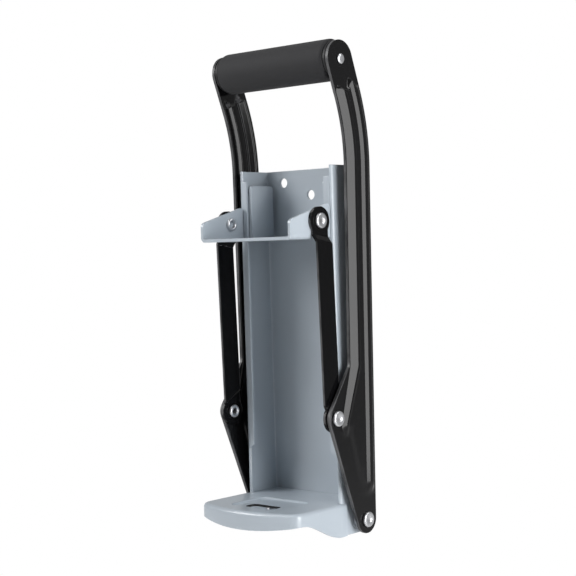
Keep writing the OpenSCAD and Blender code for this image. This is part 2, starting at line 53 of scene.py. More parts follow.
# Folded and pressed sheets. _T is a thickness, _R a radius, _W a width, _H a height.
CHANNEL_T = 1.8 * MM
CHANNEL_FOLD = 3 * MM
LIP_W = 6.6 * MM
LIP_TOP = 208.8 * MM
LIP_FOOT = 33 * MM
LIP_SLOPE = 3.3 * MM
SCREW_R = 3.25 * MM
SCREWS = ((-24, 208), (24, 208), (0, 199))  # x and z in mm
BASE_T = 1.6 * MM
BASE_ROLL = 2.6 * MM
BASE_STRIP = 1.2 * MM  # flat strip inside the rolled rim
BOW_R = 100 * MM
CORNER_R = 9 * MM
SKIRT_MID = 11.8 * MM
SKIRT_CORNER = 8.2 * MM
SKIRT_FALL = (-67.3 * MM, -29 * MM)  # the skirt deepens between these, along Y
TONGUE_HALF = 38.05 * MM
TONGUE_CORNER = 1.6 * MM
FLANGE_BACK = -24 * MM
CHANNEL_FRONT = -28.6 * MM
NOTCH_W = 2.3 * MM
NOTCH_GAP = 0.35 * MM
NOTCH_LOW, NOTCH_TOP = -30 * MM, 5 * MM
REAR_FLANGE = (30 * MM, -1.9 * MM, 18 * MM)  # half width, Y, height
PANEL = (20 * MM, -66.5 * MM, -35.5 * MM, 4 * MM)  # half width, front, back, corner radius
PANEL_DEPTH = 1.1 * MM
PANEL_WALL = ((2.3, 0), (1.3, 0), (0.9, 0.12), (0.5, 0.5), (0.1, 0.88), (-0.3, 1),
              (-1.2, 1))  # mm outside the panel's outline, share of its depth
SLOT = (12.3 * MM, -62.5 * MM, -52.1 * MM, 3.4 * MM)  # half width, front, back, corner radius
RAM_T = 2 * MM
RAM_FOLD = 3.2 * MM
EAR_BACK = -28.95 * MM
EAR_H = 23 * MM
EAR_PEAK = 6.5 * MM  # in front of the ear's back
EAR_NOSE_H = 12.4 * MM
EAR_TAIL_H = 20.5 * MM
EAR_CORNER = 2.4 * MM
WING_HALF = 33.2 * MM
WING_FRONT = -26.25 * MM
WING_BACK = -5 * MM
LUG_HALF = 38 * MM
LUG_DROP = 5 * MM
WING_CORNER = 1.5 * MM
SHEAR_ROUND, BASE_ROUND, ARM_ROUND = 0.3 * MM, 0.4 * MM, 0.45 * MM  # sheared edges

# Lever and link sizes, in the plane across the pivots
ARM_IN = 45.7 * MM
ARM_T = 2 * MM
ARM_W = 24 * MM
ARM_BACK = -0.5 * MM
ARM_LEAN = math.tan(math.radians(0.7))
RIB_H = 2.6 * MM
EAR_Z = 88 * MM
BEND_Z = 215 * MM
BEND_R = 130 * MM
BEND_ANGLE = math.radians(20)
TOP_RUN = 23.4 * MM
TOP_EYE = 12 * MM
PIVOT = Vector((0, -9.5, -12)) * MM
PIVOT_EYE = 9 * MM
ELBOW = Vector((0, -37.5, 56)) * MM
ELBOW_EYE = 8 * MM
RAM_PIN = Vector((0, -41, 180.5)) * MM
LINK_W = 14 * MM
LINK_T = 2 * MM
LINK_EYE = 9 * MM
LINK_TOP_IN = 39.05 * MM
LINK_BAR_IN = 42.4 * MM
LINK_FOOT_IN = 43.4 * MM
FOOT_STEP = (9.3 * MM, 11.5 * MM)  # the steps' begin and end, from the nearer pin
TOP_STEP = (13.5 * MM, 9 * MM)
FOOT_SLANT, TOP_SLANT = 0.5, 0.2
FINE_STEP = 0.5 * MM
FINE_ROWS = 40


# ---------------------------------------------------------------- modelling
def alone(piece):
    """Selects one piece and makes it active."""
    bpy.ops.object.select_all(action="DESELECT")
    piece.select_set(True)
    bpy.context.view_layer.objects.active = piece


def start(name, add, **place):
    """Adds a primitive at its size and place."""
    bpy.ops.object.select_all(action="DESELECT")
    add(**place)
    piece = bpy.context.active_object
    piece.name = piece.data.name = name
    return piece


def block(name, low, high):
    """A cube stretched over a box."""
    low, high = Vector(low), Vector(high)
    piece = start(name, bpy.ops.mesh.primitive_cube_add, size=1, location=(low + high) / 2)
    piece.scale = high - low
    settle(piece)
    return piece


def settle(piece):
    """Puts a piece's place, turn and size into its mesh."""
    alone(piece)
    bpy.ops.object.transform_apply(location=True, rotation=True, scale=True)


@contextmanager
def editing(piece):
    """Edit mode, with the whole mesh selected at first."""
    alone(piece)
    bpy.ops.object.mode_set(mode="EDIT")
    bpy.ops.mesh.select_all(action="SELECT")
    yield
    bpy.ops.object.mode_set(mode="OBJECT")


def pick(piece, part, test):
    """Selects the vertices, edges or faces whose middle and direction pass a test."""
    bpy.ops.mesh.select_mode(type=part)
    bpy.ops.mesh.select_all(action="DESELECT")
    form = bmesh.from_edit_mesh(piece.data)
    if part == "VERT":
        found = [v for v in form.verts if test(v.co, v.normal)]
    elif part == "EDGE":
        found = [e for e in form.edges
                 if test((e.verts[0].co + e.verts[1].co) / 2,
                         (e.verts[1].co - e.verts[0].co).normalized())]
    else:
        found = [f for f in form.faces if test(f.calc_center_median(), f.normal)]
    for item in found:
        item.select_set(True)
    form.select_flush_mode()
    bmesh.update_edit_mesh(piece.data)


def modify(piece, kind, **settings):
    """Adds a modifier, sets it and applies it."""
    alone(piece)
    modifier = piece.modifiers.new(kind.lower(), kind)
    for key, value in settings.items():
        setattr(modifier, key, value)
    bpy.ops.object.modifier_apply(modifier=modifier.name)


def combine(piece, other, operation):
    """Cuts another solid from a piece, or unites them."""
    modify(piece, "BOOLEAN", object=other, operation=operation, solver="EXACT")
    bpy.data.objects.remove(other)


def join(pieces):
    """Makes one mesh of several."""
    bpy.ops.object.select_all(action="DESELECT")
    for piece in pieces:
        piece.select_set(True)
    bpy.context.view_layer.objects.active = pieces[0]
    bpy.ops.object.join()
    return pieces[0]


def weld(piece, distance=0.01 * MM):
    """Merges points that meet and turns the faces outwards."""
    with editing(piece):
        bpy.ops.mesh.remove_doubles(threshold=distance)
        bpy.ops.mesh.delete_loose()
        bpy.ops.mesh.select_all(action="SELECT")
        bpy.ops.mesh.normals_make_consistent(inside=False)


def clean(piece, distance):
    """Collapses edges without length and faces without area."""
    with editing(piece):
        bpy.ops.mesh.dissolve_degenerate(threshold=distance)


def soften(piece, width, segments=2, angle=40, shortest=0.001 * MM):
    """Rounds the sheared edges of a piece and leaves out what is shorter than shortest."""
    modify(piece, "BEVEL", width=width, segments=segments, limit_method="ANGLE",
           angle_limit=math.radians(angle), use_clamp_overlap=True)
    clean(piece, shortest)


def dress(piece, material, body, nodes=(), angle=35, flat=False):
    """Shades a piece and hands it over: what it rides on, its finish and what it replaces."""
    settle(piece)
    bpy.ops.object.shade_smooth_by_angle(angle=math.radians(angle))
    if flat:
        modify(piece, "WEIGHTED_NORMAL", mode="FACE_AREA", weight=100, keep_sharp=True)
    piece.data.materials.clear()
    piece.data.materials.append(material)
    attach(piece, body)
    if nodes:
        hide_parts(*nodes)


def mirrored(piece, name):
    """The same piece on the other side, with a mesh of its own."""
    twin = piece.copy()
    twin.data = piece.data.copy()
    twin.name = twin.data.name = name
    bpy.context.scene.collection.objects.link(twin)
    twin.scale = (-1, 1, 1)
    settle(twin)
    with editing(twin):
        bpy.ops.mesh.normals_make_consistent(inside=False)
    return twin


def face_towards(piece, way):
    """Turns a sheet's faces over where they look away from a direction."""
    if sum(face.normal.dot(way) * face.area for face in piece.data.polygons) < 0:
        with editing(piece):
            bpy.ops.mesh.flip_normals()


def skin(name, rows):
    """A sheet through rows of points, from a grid with as many rows and columns."""
    piece = start(name, bpy.ops.mesh.primitive_grid_add, x_subdivisions=len(rows[0]) - 1,
                  y_subdivisions=len(rows) - 1, size=1)
    points = [point for row in rows for point in row]
    for vertex, point in zip(piece.data.vertices, points):
        vertex.co = point
    return piece


def ring(name, points):
    """A closed outline of edges."""
    piece = start(name, bpy.ops.mesh.primitive_circle_add, vertices=len(points), radius=1,
                  fill_type="NOTHING")
    for vertex, point in zip(piece.data.vertices, points):
        vertex.co = point
    return piece


def turned(name, profile, axis, steps=48):
    """A round piece: a closed profile of (x, radius) points, spun about a line along X."""
    piece = ring(name, [Vector((x, axis.y, axis.z + r)) for x, r in profile])
    with editing(piece):
        bpy.ops.mesh.spin(steps=steps, angle=math.tau, center=axis, axis=(1, 0, 0))
    weld(piece, 0.002 * MM)
    return piece


def arc(middle, r, begin, end, steps):
    """Points on an arc, as (across, up) pairs; angles in degrees."""
    turn = [math.radians(begin + (end - begin) * i / steps) for i in range(steps + 1)]
    return [(middle[0] + r * math.cos(a), middle[1] + r * math.sin(a)) for a in turn]


def ramp(value, low, high):
    """Rises evenly from 0 at low to 1 at high."""
    return min(1.0, max(0.0, (value - low) / (high - low)))


def smooth(value, low, high):
    """Eases from 0 at low to 1 at high."""
    t = ramp(value, low, high)
    return t * t * (3 - 2 * t)


# ---------------------------------------------------------------- finishes
class Value:
    """An output socket; arithmetic on it adds Math nodes to its finish."""

    def __init__(self, finish, socket):
        self.finish, self.socket = finish, socket

    def maths(self, operation, *values):
        """The result of a Math node on these values."""
        return self.finish.add("ShaderNodeMath", {"operation": operation},
                               dict(enumerate(values)))

    def __add__(self, other):
        return self.maths("ADD", self, other)

    __radd__ = __add__

    def __mul__(self, other):
        return self.maths("MULTIPLY", self, other)

    __rmul__ = __mul__

    def __sub__(self, other):
        return self.maths("SUBTRACT", self, other)

    def __rsub__(self, other):
        return self.maths("SUBTRACT", other, self)

    def between(self, low, high):
        """0 up to low, 1 from high on, eased between; low may be the larger."""
        return self.finish.add("ShaderNodeMapRange", {"interpolation_type": "SMOOTHSTEP"},
                               {"Value": self, "From Min": low, "From Max": high})


class Finish:
    """One procedural material, written as expressions."""

    def __init__(self, name, **constants):
        self.material = bpy.data.materials.new(name)
        self.material.use_nodes = True
        self.tree = self.material.node_tree
        self.shader = next(n for n in self.tree.nodes if n.type == "BSDF_PRINCIPLED")
        for key, value in constants.items():
            self.shader.inputs[key.replace("_", " ")].default_value = value
        self.place = self.add("ShaderNodeTexCoord", {}, {}, "Object")

    def add(self, kind, settings, inputs, output=0):
        """Adds a node, sets it, feeds its sockets and returns one of its outputs."""
        node = self.tree.nodes.new(kind)
        for key, value in settings.items():
            setattr(node, key, value)
        for key, value in inputs.items():
            self.feed(node.inputs[key], value)
        return Value(self, node.outputs[output])

    def feed(self, socket, value):
        """Links a value to a socket, or sets the socket to a number or colour."""
        if isinstance(value, Value):
            self.tree.links.new(value.socket, socket)
        else:
            socket.default_value = value

    def noise(self, scale, detail, roughness=0.5, place=None):
        """Soft noise, with its scale in cells per metre."""
        return self.add("ShaderNodeTexNoise", {},
                        {"Vector": place or self.place, "Scale": scale, "Detail": detail,
                         "Roughness": roughness})

    def cells(self, scale):
        """Distance from the middle of the nearest cell."""
        return self.add("ShaderNodeTexVoronoi", {"feature": "F1"},
                        {"Vector": self.place, "Scale": scale})

    def stretched(self, *scale):
        """Object coordinates drawn out along the axes."""
        return self.add("ShaderNodeMapping", {}, {"Vector": self.place, "Scale": scale})

    def blend(self, factor, first, second):
        """A colour between two colours."""
        return self.add("ShaderNodeMix", {"data_type": "RGBA"},
                        {"Factor": factor, 6: first, 7: second}, 2)

    def edges(self, low, high):
        """1 on rounded outer edges, 0 on flat faces, broken up by noise; the mask for painted
        edge highlights.
        """
        sharp = self.add("ShaderNodeNewGeometry", {}, {}, "Pointiness").between(low, high)
        return sharp * (0.55 + 0.45 * self.noise(70, 3).between(0.35, 0.6))

    def bumps(self, *layers):
        """Bump layers, each a height and a depth in metres, feeding one another."""
        normal = None
        for height, depth in layers:
            inputs = {"Height": height, "Distance": depth, "Strength": 1.0}
            if normal:
                inputs["Normal"] = normal
            normal = self.add("ShaderNodeBump", {}, inputs)
        return normal

    def set(self, **sockets):
        """Feeds the shader's sockets and returns the material."""
        for key, value in sockets.items():
            self.feed(self.shader.inputs[key.replace("_", " ")], value)
        return self.material


def powder_coat():
    """Glossy pale blue-grey coat with a fine orange peel, faint handling marks and painted
    highlights on its rounded edges.
    """
    f = Finish("powder_coat", IOR=1.5, Coat_IOR=1.5, Coat_Roughness=0.08)
    cloud = f.noise(18, 3)
    peel = f.noise(900, 2)
    marks = f.noise(260, 4, 0.7, f.stretched(1, 1, 0.18)).between(0.62, 0.74)
    colour = f.blend(cloud, (0.395, 0.445, 0.495, 1), (0.430, 0.483, 0.535, 1))
    colour = f.blend(marks * 0.25, colour, (0.49, 0.54, 0.59, 1))
    # Painted highlight: rounded edges are made a paler grey, standing for light caught on
    # their rounding.
    colour = f.blend(0.4 * f.edges(0.53, 0.6), colour, (0.56, 0.61, 0.66, 1))
    return f.set(Base_Color=colour, Roughness=0.30 + 0.08 * cloud + 0.06 * marks,
                 Coat_Weight=0.35 - 0.1 * marks, Normal=f.bumps((peel, 0.02 * MM)))


def black_coat(name, shine, colour_low, colour_high):
    """Black coat over pressed steel, slightly uneven, with tiny specks in it; its rounded
    edges get a painted highlight, a lighter grey, and are rougher.
    """
    f = Finish(name, IOR=1.5, Specular_IOR_Level=shine)
    cloud = f.noise(25, 3)
    peel = f.noise(750, 2)
    specks = f.cells(420).between(0.09, 0.05)
    colour = f.blend(cloud, colour_low, colour_high)
    colour = f.blend(specks * 0.35, colour, (0.04, 0.04, 0.042, 1))
    # Painted highlight: rounded edges turn a lighter grey, standing for light on their
    # rounding; the same mask makes them rougher.
    edge_sheen_and_wear = f.edges(0.53, 0.585)
    colour = f.blend(edge_sheen_and_wear, colour, (0.11, 0.11, 0.114, 1))
    return f.set(Base_Color=colour, Roughness=0.09 + 0.05 * cloud + 0.25 * edge_sheen_and_wear,
                 Normal=f.bumps((peel, 0.006 * MM)))


def zinc_plate():
    """Bright zinc plate with fine turning marks and dulled patches."""
    f = Finish("zinc_plate", Metallic=1.0)
    dull = f.noise(140, 3).between(0.45, 0.7)
    lines = f.noise(1500, 2, 0.5, f.stretched(1, 0.12, 1))
    colour = f.blend(dull, (0.63, 0.64, 0.66, 1), (0.54, 0.55, 0.57, 1))
    return f.set(Base_Color=colour, Roughness=0.26 + 0.08 * dull + 0.05 * lines,
                 Normal=f.bumps((lines, 0.003 * MM)))


def painted_slot_shade():
    """Painted shade for the slot's walls: near-black metal with fine scratches, standing for
    the dark inside of the slot.
    """
    f = Finish("painted_slot_shade", Metallic=1.0)
    lines = f.noise(900, 3, 0.6, f.stretched(0.2, 1, 1))
    colour = f.blend(lines, (0.020, 0.021, 0.022, 1), (0.045, 0.046, 0.048, 1))
    return f.set(Base_Color=colour, Roughness=0.45 + 0.2 * lines,
                 Normal=f.bumps((lines, 0.01 * MM)))


def foam():
    """Closed-cell foam: matte dark grey with fine open cells and soft dents."""
    f = Finish("foam", Specular_IOR_Level=0.25, Sheen_Weight=0.05, Sheen_Roughness=0.5)
    cells = f.cells(1100)
    grain = f.noise(2400, 2)
    cloud = f.noise(40, 3)
    colour = f.blend(cloud, (0.019, 0.019, 0.021, 1), (0.029, 0.029, 0.031, 1))
    # Painted shade: the pits of the cells, which the bump sinks, are made darker.
    colour = f.blend(cells.between(0.5, 0.15) * 0.3, colour, (0.014, 0.014, 0.015, 1))
    return f.set(Base_Color=colour, Roughness=0.66 + 0.12 * cloud,
                 Normal=f.bumps((cloud, 0.15 * MM), (cells, 0.05 * MM), (grain, 0.02 * MM)))


def black_plastic():
    """Moulded black plastic with a fine satin grain."""
    f = Finish("black_plastic", IOR=1.46, Specular_IOR_Level=0.3)
    grain = f.noise(1600, 3)
    cloud = f.noise(60, 2)
    colour = f.blend(cloud, (0.009, 0.009, 0.010, 1), (0.016, 0.016, 0.017, 1))
    return f.set(Base_Color=colour, Roughness=0.42 + 0.12 * cloud,
                 Normal=f.bumps((grain, 0.015 * MM)))


GREY, ZINC, FOAM, PLASTIC = powder_coat(), zinc_plate(), foam(), black_plastic()
# Painted shade for the inside of the opener's slot.
PAINTED_SLOT_SHADE = painted_slot_shade()
ARM_BLACK = black_coat("arm_coat", 0.22, (0.0028, 0.0028, 0.0032, 1),
                       (0.0052, 0.0052, 0.0056, 1))
LINK_BLACK = black_coat("link_coat", 0.10, (0.0022, 0.0022, 0.0026, 1),
                        (0.004, 0.004, 0.0044, 1))


# ---------------------------------------------------------------- channel
def make_channel():
    """A folded channel: back and walls, lips drawn in at the front, screw holes."""
    low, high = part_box("back_channel")
    piece = block("channel", low, high)
    lip_in = high.x - LIP_W
    wall_in = high.x - CHANNEL_T
    with editing(piece):
        pick(piece, "FACE", lambda at, way: abs(way.z) > 0.5 or way.y < -0.5)
        bpy.ops.mesh.delete(type="FACE")
        for side in (-1, 1):
            pick(piece, "EDGE", lambda at, way: side * at.x > 0 and at.y < low.y + TINY
                 and abs(way.z) > 0.9)
            bpy.ops.mesh.extrude_edges_move(
                TRANSFORM_OT_translate={"value": (-side * LIP_W, 0, 0)})
        pick(piece, "EDGE", lambda at, way: abs(at.x) > high.x - TINY and abs(way.z) > 0.9)
        bpy.ops.mesh.bevel(offset=CHANNEL_FOLD, segments=7, affect="EDGES")
        front = low.y + CHANNEL_FOLD + TINY
        for side in (-1, 1):
            def on_lip(at, way):
                """Whether a place is on this side's lip."""
                return side * at.x > 0 and at.y < front
            pick(piece, "FACE", on_lip)
            bpy.ops.mesh.bisect(plane_co=(side * wall_in, 0, 0), plane_no=(1, 0, 0))
            pick(piece, "FACE", lambda at, way: on_lip(at, way) and abs(at.x) < wall_in)
            bpy.ops.mesh.bisect(plane_co=(0, 0, LIP_TOP), plane_no=(0, 0, 1), clear_outer=True)
            pick(piece, "FACE", lambda at, way: on_lip(at, way) and abs(at.x) < wall_in)
            bpy.ops.mesh.bisect(plane_co=(side * lip_in, 0, LIP_FOOT), clear_inner=True,
                                plane_no=Vector((side * LIP_SLOPE, 0, wall_in - lip_in)))
    modify(piece, "SOLIDIFY", thickness=CHANNEL_T, offset=-1, use_even_offset=True)
    for x, z in SCREWS:
        hole = start("hole", bpy.ops.mesh.primitive_cylinder_add, vertices=40, radius=SCREW_R,
                     depth=4 * CHANNEL_T, location=(x * MM, 0, z * MM),
                     rotation=(math.pi / 2, 0, 0))
        combine(piece, hole, "DIFFERENCE")
    soften(piece, SHEAR_ROUND)
    dress(piece, GREY, "frame", ["back_channel"], flat=True)


# ---------------------------------------------------------------- base
def base_outline(inset):
    """Bowed front, round corners and straight sides of the base, from right to left."""
    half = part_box("base_tray")[1].x
    bow_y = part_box("base_tray")[0].y + BOW_R
    corner_x = half - CORNER_R
    lean = math.asin(corner_x / (BOW_R - CORNER_R))
    corner_y = bow_y - (BOW_R - CORNER_R) * math.cos(lean)
    turn = math.degrees(lean)
    side = [(half - inset, FLANGE_BACK + (corner_y - FLANGE_BACK) * i / 24)
            for i in range(24)]
    corner = arc((corner_x, corner_y), CORNER_R - inset, 0, turn - 90, 12)
    bow = arc((0, bow_y), BOW_R - inset, turn - 90, -turn - 90, 48)[1:-1]
    right = side + corner
    return right + bow + [(-x, y) for x, y in reversed(right)]


def skirt_depth(x, y):
    """How far the skirt hangs: bowed in front, falling in a soft S along the sides."""
    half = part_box("base_tray")[1].x
    front = SKIRT_MID - (SKIRT_MID - SKIRT_CORNER) * (x / half) ** 2
    full = -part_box("base_tray")[0].z
    return front + (full - SKIRT_CORNER) * smooth(y, *SKIRT_FALL)


def rounded(half, front, back, r, grow, z):
    """A rounded rectangle as a ring of points, grown by some margin."""
    ring_points = []
    half, front, back, r = half + grow, front - grow, back + grow, r + grow
    for (sx, sy, begin) in ((1, 1, 0), (-1, 1, 90), (-1, -1, 180), (1, -1, 270)):
        middle = (sx * (half - r), back - r if sy > 0 else front + r)
        ring_points += arc(middle, r, begin, begin + 90, 8)
    return [Vector((x, y, z)) for x, y in ring_points]


def make_base():
    """A pressed tray: rolled rim and skirt, flat top, sunk panel with the opener's slot."""
    rows = [[Vector((x, y, 0)) for x, y in base_outline(BASE_ROLL + BASE_STRIP)]]
    for degrees in (90, 72, 54, 36, 18, 0):
        a = math.radians(degrees)
        rows.append([Vector((x, y, BASE_ROLL * (math.sin(a) - 1)))
                     for x, y in base_outline(BASE_ROLL * (1 - math.cos(a)))])
    skirt = base_outline(0)
    for share in (0.35, 0.7, 1.0):
        rows.append([Vector((x, y, -BASE_ROLL - share * (skirt_depth(x, y) - BASE_ROLL)))
                     for x, y in skirt])
    rim = skin("base", rows)
    half, back, drop = REAR_FLANGE
    right = [(half, back), (TONGUE_HALF - TONGUE_CORNER, back),
             (TONGUE_HALF, back - TONGUE_CORNER), (TONGUE_HALF, FLANGE_BACK)]
    tongue = [(-x, y) for x, y in reversed(right)] + right
    walls = [rounded(*PANEL, grow * MM, -PANEL_DEPTH * share) for grow, share in PANEL_WALL]
    top = join([ring("outer", rows[0] + [Vector((x, y, 0)) for x, y in tongue]),
                ring("hem", walls[0])])
    with editing(top):
        bpy.ops.mesh.fill(use_beauty=True)
        pick(top, "EDGE", lambda at, way: abs(at.y - back) < TINY and abs(at.x) < half)
        bpy.ops.mesh.extrude_edges_move(TRANSFORM_OT_translate={"value": (0, 0, -drop)})
    walls.append(rounded(*SLOT, 0, -PANEL_DEPTH))
    panel = skin("panel", [wall + wall[:1] for wall in walls])
    piece = join([rim, top, panel])
    weld(piece)
    face_towards(piece, Vector((0, 0, 1)))
    modify(piece, "SOLIDIFY", thickness=BASE_T, offset=-1, use_even_offset=True)
    for side in (-1, 1):
        inner, outer = side * TONGUE_HALF, side * (TONGUE_HALF + NOTCH_W)
        notch = block("notch", (min(inner, outer), CHANNEL_FRONT - NOTCH_GAP, NOTCH_LOW),
                      (max(inner, outer), 0, NOTCH_TOP))
        combine(piece, notch, "DIFFERENCE")
    soften(piece, BASE_ROUND, 3, 55)
    dress(piece, GREY, "frame", ["base_tray"], angle=30, flat=True)
    half, front, back, _ = SLOT
    # The slot's walls get painted shade: a near-black material standing for the slot's dark
    # inside.
    piece.data.materials.append(PAINTED_SLOT_SHADE)
    for face in piece.data.polygons:
        at = face.center
        if (abs(at.x) < half + TINY and front - TINY < at.y < back + TINY
                and abs(face.normal.z) < 0.3):
            face.material_index = 1


# ---------------------------------------------------------------- ram
def make_ram():
    """A folded ram: plate with two ears in front, and guide wings between the lips."""
    low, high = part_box("ram")
    ear_top = low.z + EAR_H
    front = block("folded_ram", (low.x, low.y, low.z), (high.x, EAR_BACK, ear_top))
    with editing(front):
        pick(front, "FACE", lambda at, way: way.z > 0.5 or abs(way.y) > 0.5)
        bpy.ops.mesh.delete(type="FACE")
        peak = Vector((0, EAR_BACK - EAR_PEAK, ear_top))
        nose = Vector((0, low.y, low.z + EAR_NOSE_H))
        tail = Vector((0, EAR_BACK, low.z + EAR_TAIL_H))
        for begin, end in ((nose, peak), (peak, tail)):
            run = end - begin
            bpy.ops.mesh.select_all(action="SELECT")
            bpy.ops.mesh.bisect(plane_co=begin, plane_no=(0, -run.z, run.y), clear_outer=True)
        pick(front, "VERT", lambda at, way: at.z > low.z + TINY)
        bpy.ops.mesh.bevel(offset=EAR_CORNER, segments=4, affect="VERTICES")
        pick(front, "EDGE", lambda at, way: at.z < low.z + TINY and abs(way.y) > 0.9)
        bpy.ops.mesh.bevel(offset=RAM_FOLD, segments=7, affect="EDGES")
    modify(front, "SOLIDIFY", thickness=RAM_T, offset=-1, use_even_offset=True)
    wings = block("wings", (-WING_HALF, WING_FRONT, low.z), (WING_HALF, WING_BACK, high.z))
    with editing(wings):
        pick(wings, "FACE", lambda at, way: way.z > 0.5 or abs(way.y) > 0.5)
        bpy.ops.mesh.delete(type="FACE")
        pick(wings, "VERT", lambda at, way: at.z > high.z - TINY)
        bpy.ops.mesh.bevel(offset=WING_CORNER, segments=3, affect="VERTICES")
        pick(wings, "EDGE", lambda at, way: at.z < low.z + TINY and abs(way.y) > 0.9)
        bpy.ops.mesh.bevel(offset=RAM_FOLD, segments=7, affect="EDGES")
    modify(wings, "SOLIDIFY", thickness=RAM_T, offset=-1, use_even_offset=True)
    plate = block("plate", (-WING_HALF + RAM_FOLD, EAR_BACK - RAM_T, low.z),
                  (WING_HALF - RAM_FOLD, high.y, low.z + RAM_T))
    combine(front, plate, "UNION")
    combine(front, wings, "UNION")
    for side in (-1, 1):
        inner, outer = side * (WING_HALF - RAM_T / 2), side * LUG_HALF
        lug = block("lug", (min(inner, outer), WING_FRONT, low.z + RAM_FOLD),
                    (max(inner, outer), WING_FRONT + RAM_T, high.z - LUG_DROP))
        combine(front, lug, "UNION")
    with editing(front):
        bpy.ops.mesh.remove_doubles(threshold=0.02 * MM)
        bpy.ops.mesh.dissolve_limited(angle_limit=math.radians(0.5))
    soften(front, SHEAR_ROUND)
    dress(front, GREY, "ram", ["ram"], flat=True)


# ---------------------------------------------------------------- links
def link_offset(along, across, length):
    """Inner face of the link: top eye, oblique joggle, bar, short joggle and foot eye."""
    foot = 1 - ramp(along - FOOT_SLANT * across, *FOOT_STEP)
    top = ramp(along + TOP_SLANT * across, length - TOP_STEP[0], length - TOP_STEP[1])
    return (LINK_BAR_IN + foot * (LINK_FOOT_IN - LINK_BAR_IN)
            + top * (LINK_TOP_IN - LINK_BAR_IN))


def make_link():
    """A flat bar with two round eyes, stepped inwards at the ram."""
    axis = RAM_PIN - ELBOW
    length = axis.length
    along = axis.normalized()
    across = Vector((0, along.z, -along.y))
    foot_end = [(-LINK_EYE * math.cos(a), LINK_EYE * math.sin(a))
                for a in (math.radians(6 + 6.6 * i) for i in range(11))]
    foot_end += [(t, max(LINK_W / 2, math.sqrt(max(0, LINK_EYE ** 2 - t * t))))
                 for t in (FINE_STEP * i for i in range(FINE_ROWS))]
    reach = FINE_ROWS * FINE_STEP
    bar = [(reach + i * (length - 2 * reach) / 24, LINK_W / 2) for i in range(25)]
    stations = foot_end + bar + [(length - t, w) for t, w in reversed(foot_end)]
    shares = [-1, -0.96, -0.8, -0.6, -0.4, -0.2, 0, 0.2, 0.4, 0.6, 0.8, 0.96, 1]
    rows = []
    for t, w in stations:
        row = []
        for share in shares:
            x = link_offset(t, share * w, length) + LINK_T
            row.append(ELBOW + along * t + across * (share * w) + Vector((x, 0, 0)))
        rows.append(row)
    piece = skin("link_bar_right", rows)
    face_towards(piece, Vector((1, 0, 0)))
    modify(piece, "SOLIDIFY", thickness=LINK_T, offset=-1, use_even_offset=True)
    soften(piece, SHEAR_ROUND, 3, 60)
    twin = mirrored(piece, "link_bar_left")
    dress(piece, LINK_BLACK, "link_right", ["link_right"], angle=24)
    dress(twin, LINK_BLACK, "link_left", ["link_left"], angle=24)


# ---------------------------------------------------------------- lever arms
# Across the arm, places are shares of its width from the back edge. The rear rib and the
# front rib stand beside a groove; below the ear's root the front rib is the bead.
GROOVE = 0.45
RIBS = ((0.0, 0), (0.04, 0), (0.2, 1), (0.33, 1), (0.44, GROOVE), (0.56, GROOVE), (0.66, 1),
        (0.75, 1), (0.985, 0), (1.0, 0))
PRESS_ROUND = 0.016
REAR_START, REAR_END = 0.2, 0.5
BEAD_START, BEAD_END, BEAD_MIDDLE = 0.56, 0.985, 0.735
BEAD_FOOT = Vector((0, -29.6, 52)) * MM
BEAD_SHRINK = 0.35
BEAD_LEVEL = 50 * MM  # below it the columns stop following the bead
WEB_BACK = -15.5 * MM
WEB_SETBACK = 2 * MM
WEB_FOOT = 9 * MM
WEB_RISE, BACK_RISE = (-1.5 * MM, 4 * MM), (0.5 * MM, 4.5 * MM)
REAR_FADE, BEAD_FADE, WEB_FADE = (3 * MM, 12 * MM), (43 * MM, 51 * MM), (2 * MM, 24 * MM)
# Round upper ends of the ribs: how much longer in the middle, middle and half width
REAR_TIP, FRONT_TIP = (5.5 * MM, 0.36, 0.13), (4 * MM, 0.85, 0.16)
TIP_END, TIP_FADE = 5 * MM, 3 * MM
LOW_ROWS, STRAIGHT_ROWS, BEND_ROWS, TOP_ROWS = 100, 26, 16, 48
PIVOT_BORE, ELBOW_BORE, ROD_BORE = 3.08 * MM, 3.02 * MM, 2.42 * MM


def between_points(table, at):
    """Straight-line interpolation in a table of pairs."""
    if at <= table[0][0]:
        return table[0][1]
    for (a, low), (b, high) in zip(table, table[1:]):
        if at <= b:
            return low + (high - low) * (at - a) / (b - a)
    return table[-1][1]


def rib_height(share):
    """Height of the two ribs and the groove, with pressed-round edges."""
    spread = [PRESS_ROUND * i / 2 for i in range(-2, 3)]
    return RIB_H * sum(between_points(RIBS, share + s) for s in spread) / len(spread)


def tangent(a, ra, b, rb):
    """Where the line that touches two circles on their front side meets them."""
    gap = b - a
    u = gap.normalized()
    s = (ra - rb) / gap.length
    c = math.sqrt(1 - s * s)
    way = Vector((0, s * u.y - c * u.z, s * u.z + c * u.y))
    return a + ra * way, b + rb * way


EAR_ROOT = Vector((0, ARM_BACK - ARM_W, EAR_Z))
LOW_LINE = tangent(PIVOT, PIVOT_EYE, ELBOW, ELBOW_EYE)
TOP_LINE = tangent(ELBOW, ELBOW_EYE, EAR_ROOT, 0)


def front_edge(z):
    """Front edge of the arm below its ear's root, as Y."""
    (pivot_at, elbow_low), (elbow_top, _) = LOW_LINE, TOP_LINE
    if z >= elbow_top.z:
        t = (z - elbow_top.z) / (EAR_Z - elbow_top.z)
        return elbow_top.y + t * (EAR_ROOT.y - elbow_top.y)
    if z >= elbow_low.z:
        return ELBOW.y - math.sqrt(max(0, ELBOW_EYE ** 2 - (z - ELBOW.z) ** 2))
    if z >= pivot_at.z:
        t = (z - pivot_at.z) / (elbow_low.z - pivot_at.z)
        return pivot_at.y + t * (elbow_low.y - pivot_at.y)
    return PIVOT.y - math.sqrt(max(0, PIVOT_EYE ** 2 - (z - PIVOT.z) ** 2))


